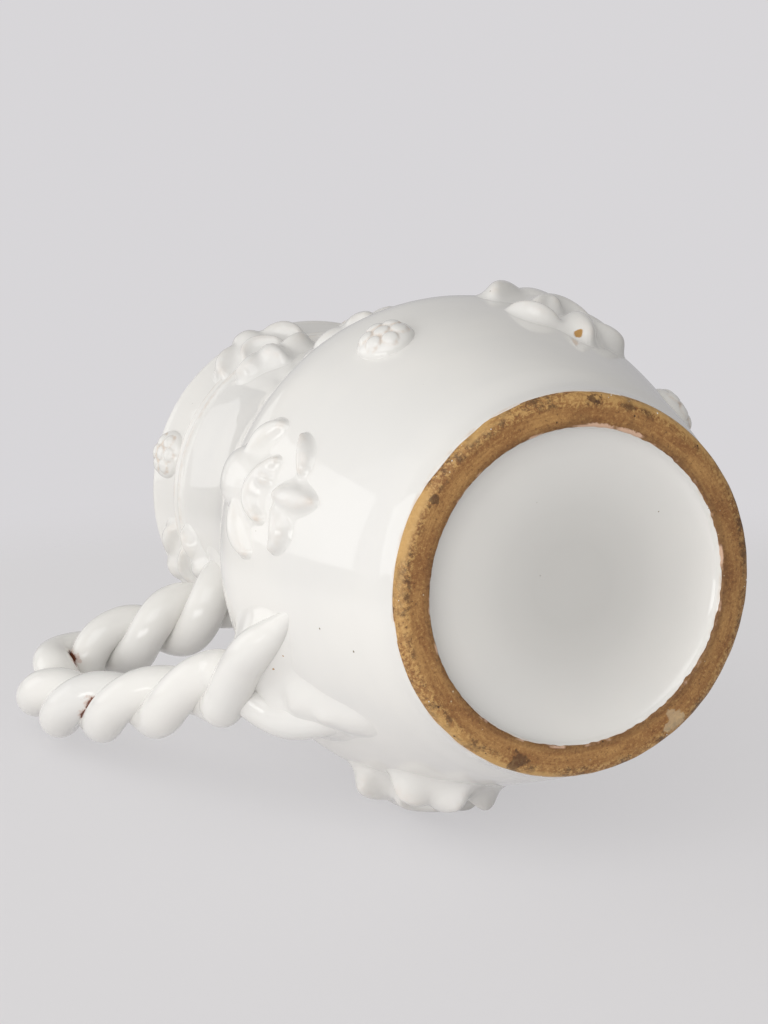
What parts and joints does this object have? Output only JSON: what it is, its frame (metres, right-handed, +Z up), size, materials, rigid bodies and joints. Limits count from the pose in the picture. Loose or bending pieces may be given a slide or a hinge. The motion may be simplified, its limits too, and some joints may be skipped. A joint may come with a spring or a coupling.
{
  "type": "ceramic jug",
  "caption": "Glazed earthenware jug with a round belly, flared neck and pouring lip, a twisted rope handle, applied leaf sprigs and rosettes, and a raw clay foot ring.",
  "frame": {"origin": "on the resting plane of the foot ring, below the middle of the jug's bounding box", "axes": "+Z up along the jug's axis from foot to rim, +X towards the handle, -X towards the pouring lip"},
  "size_m": [0.2214, 0.1598, 0.237],
  "materials": {
    "tin_glaze": "glossy warm white tin glaze over earthenware",
    "raw_clay": "unglazed red-brown earthenware, matt and slightly rough"
  },
  "bodies": {
    "root": {"body": "tin_glaze", "handle_strand_a": "tin_glaze", "handle_strand_b": "tin_glaze", "belly_sprig_1": "tin_glaze", "belly_sprig_2": "tin_glaze", "belly_sprig_3": "tin_glaze", "belly_sprig_4": "tin_glaze", "shoulder_sprig_1": "tin_glaze", "shoulder_sprig_2": "tin_glaze", "neck_sprig_1": "tin_glaze", "neck_sprig_2": "tin_glaze", "neck_sprig_3": "tin_glaze", "belly_rosette_1": "tin_glaze", "belly_rosette_2": "tin_glaze", "belly_rosette_3": "tin_glaze", "rim_rosette_1": "tin_glaze", "rim_rosette_2": "tin_glaze", "rim_rosette_3": "tin_glaze", "rim_rosette_4": "tin_glaze", "foot_ring": "raw_clay"}
  },
  "joints": []
}
